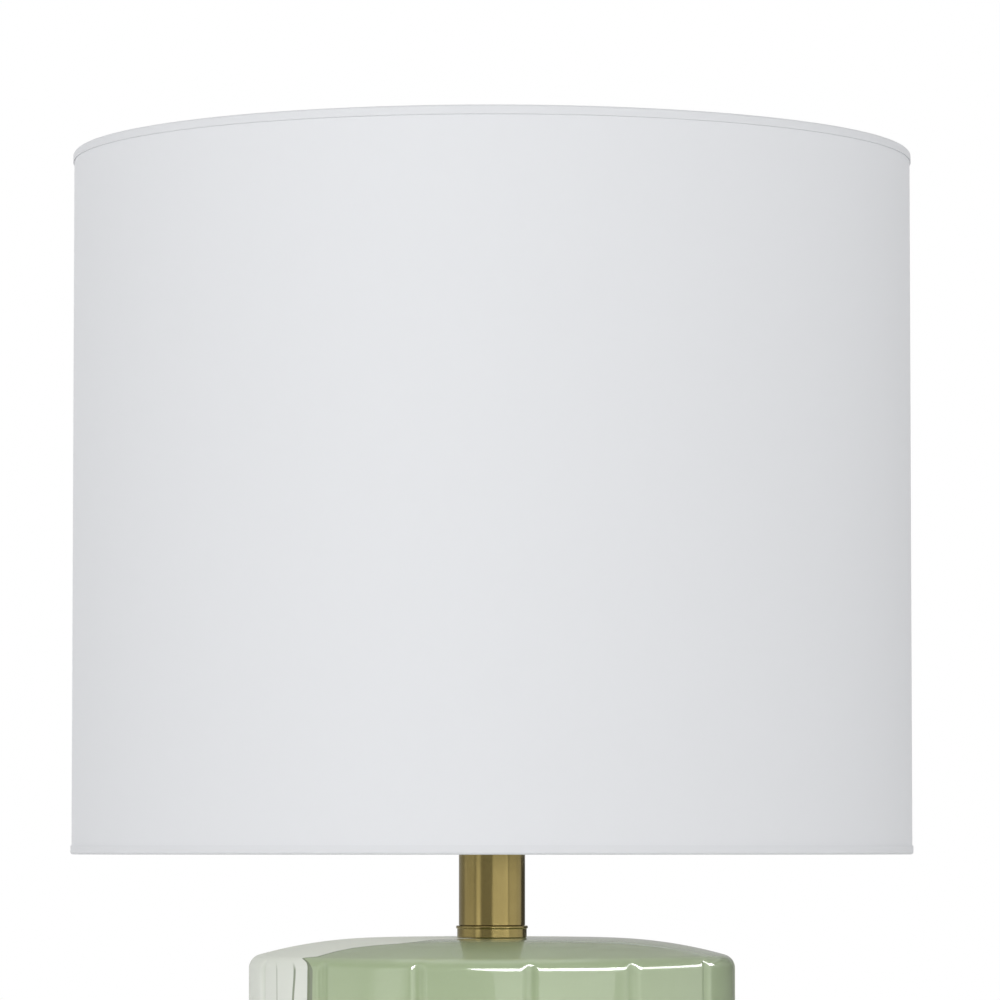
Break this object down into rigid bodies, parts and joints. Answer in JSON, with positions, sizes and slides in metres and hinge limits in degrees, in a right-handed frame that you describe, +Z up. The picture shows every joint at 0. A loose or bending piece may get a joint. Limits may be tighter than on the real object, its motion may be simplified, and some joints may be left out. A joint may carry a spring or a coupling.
{
  "type": "table lamp",
  "caption": "Table lamp with a straight-sided, low-domed ceramic jar body with upright grooves, a brass neck, a harp and a white drum shade.",
  "frame": {"origin": "on the lamp's axis, at the surface that it stands on", "axes": "+Z up along the lamp's axis, -Y towards the front, +X to the right seen from the front"},
  "size_m": [0.3048, 0.3048, 0.539],
  "materials": {
    "glaze": "glossy pale green glaze, with a white field edged by thin grey lines",
    "felt": "dark wool felt",
    "brass": "satin, brushed along its length",
    "steel": "zinc plated",
    "black_plastic": "moulded, satin",
    "moulding": "dark brown moulding",
    "card": "pressed fibre sleeve",
    "aluminium": "rolled thin sheet",
    "bulb_glass": "frosted white",
    "black_glass": "black fused insulator",
    "shade_cloth": "fine white weave",
    "shade_liner": "white translucent sheet",
    "shade_wire": "white enamelled wire"
  },
  "bodies": {
    "lamp_body": {"felt_pad": "felt", "jar": "glaze", "cord_bushing": "black_plastic", "threaded_rod": "steel", "base_plate": "steel", "base_washer": "steel", "base_nut": "steel", "seat_ring": "brass", "neck_tube": "brass", "neck_cap": "brass", "harp_saddle": "brass", "lock_washer": "steel", "socket_cap": "brass", "set_screw": "steel", "socket_shell": "brass", "socket_sleeve": "card", "switch_body": "moulding", "terminal_screws": "steel", "screw_shell": "aluminium", "centre_contact": "brass"},
    "switch": {"switch_shaft": "brass", "switch_knob": "black_plastic"},
    "bulb": {"bulb_glass": "bulb_glass", "bulb_cap": "aluminium", "bulb_insulator": "black_glass", "bulb_tip": "aluminium"},
    "harp": {"harp_wire": "brass"},
    "ferrule_left": {"ferrule_left": "brass"},
    "ferrule_right": {"ferrule_right": "brass"},
    "harp_swivel": {"harp_stud": "brass"},
    "shade": {"shade_liner": "shade_liner", "shade_cloth": "shade_cloth", "top_hem": "shade_cloth", "bottom_hem": "shade_cloth", "bottom_ring": "shade_wire", "shade_spider": "shade_wire"},
    "finial": {"finial": "brass"}
  },
  "joints": [
    {"name": "switch_turn", "type": "hinge", "parent": "lamp_body", "child": "switch", "pos_m": [0, -0.02, 0.3336], "axis": [0, -1, 0], "continuous": true},
    {"name": "bulb_lift", "type": "slide", "parent": "lamp_body", "child": "bulb", "axis": [0, 0, 1], "range_m": [0, 0.03]},
    {"name": "harp_lift", "type": "slide", "parent": "lamp_body", "child": "harp", "axis": [0, 0, 1], "range_m": [0, 0.155]},
    {"name": "ferrule_left_slide", "type": "slide", "parent": "harp", "child": "ferrule_left", "axis": [0, 0, 1], "range_m": [0, 0.012]},
    {"name": "ferrule_right_slide", "type": "slide", "parent": "harp", "child": "ferrule_right", "axis": [0, 0, 1], "range_m": [0, 0.012]},
    {"name": "shade_turn", "type": "hinge", "parent": "harp", "child": "harp_swivel", "pos_m": [0, 0, 0.5171], "axis": [0, 0, 1], "continuous": true},
    {"name": "shade_lift", "type": "slide", "parent": "harp_swivel", "child": "shade", "axis": [0, 0, 1], "range_m": [0, 0.27]},
    {"name": "finial_lift", "type": "slide", "parent": "shade", "child": "finial", "axis": [0, 0, 1], "range_m": [0, 0.013]}
  ]
}
